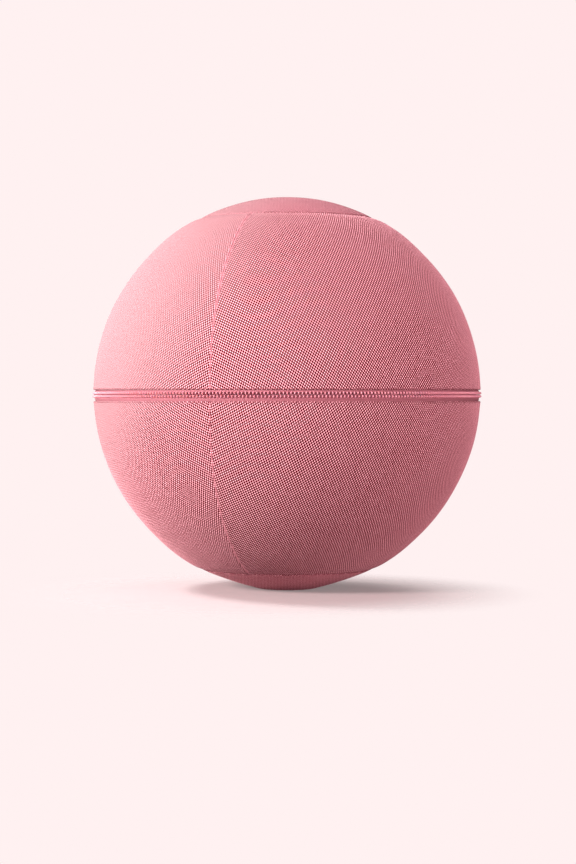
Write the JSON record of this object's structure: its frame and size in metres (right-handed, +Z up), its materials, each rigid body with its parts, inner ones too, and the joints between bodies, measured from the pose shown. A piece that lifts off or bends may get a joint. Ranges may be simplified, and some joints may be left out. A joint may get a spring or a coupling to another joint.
{
  "type": "exercise ball",
  "caption": "Inflatable sitting and exercise ball in a round mesh-fabric cover, with a zip all round its equator, cap and side panels, and a small flat patch to rest on.",
  "frame": {"origin": "centre of the flat patch on which the ball rests on the floor", "axes": "+Z up through the ball's centre, -Y towards the front, with the zip's parked slider at the back on the left of +Y"},
  "size_m": [0.6532, 0.6518, 0.6576],
  "materials": {
    "mesh_cloth": "matte",
    "seam_binding": "matte",
    "zip_tape_cloth": "matte",
    "zip_coil_plastic": "satin",
    "slider_metal": "satin",
    "ball_film": "satin",
    "valve_plastic": "gloss"
  },
  "bodies": {
    "base": {"inner_ball": "ball_film", "valve_seat": "valve_plastic", "valve_plug": "valve_plastic", "lower_gore_1": "mesh_cloth", "lower_gore_2": "mesh_cloth", "lower_gore_3": "mesh_cloth", "lower_gore_seam_1": "seam_binding", "lower_gore_seam_2": "seam_binding", "lower_gore_seam_3": "seam_binding", "lower_cap": "mesh_cloth", "lower_cap_welt": "seam_binding", "lower_zip_tape": "zip_tape_cloth", "lower_zip_coil": "zip_coil_plastic", "zip_top_stop": "slider_metal", "zip_bottom_stop": "slider_metal", "rear_join": "mesh_cloth"},
    "upper_cover": {"upper_gore_1": "mesh_cloth", "upper_gore_2": "mesh_cloth", "upper_gore_3": "mesh_cloth", "upper_gore_seam_1": "seam_binding", "upper_gore_seam_2": "seam_binding", "upper_gore_seam_3": "seam_binding", "upper_cap": "mesh_cloth", "upper_cap_welt": "seam_binding", "upper_zip_tape": "zip_tape_cloth", "upper_zip_coil": "zip_coil_plastic"},
    "slider": {"zip_slider": "slider_metal"},
    "pull": {"pull_tab": "slider_metal"}
  },
  "joints": [
    {"name": "cover_opening", "type": "hinge", "parent": "base", "child": "upper_cover", "pos_m": [0, 0.3234, 0.326], "axis": [-1, 0, 0], "range_deg": [0, 95]},
    {"name": "slider_travel", "type": "hinge", "parent": "base", "child": "slider", "pos_m": [0, 0, 0.326], "axis": [0, 0, 1], "range_deg": [0, 335]},
    {"name": "pull_swing", "type": "hinge", "parent": "slider", "child": "pull", "pos_m": [-0.07158, 0.32286, 0.326], "axis": [0, 0, -1], "range_deg": [0, 180]}
  ]
}
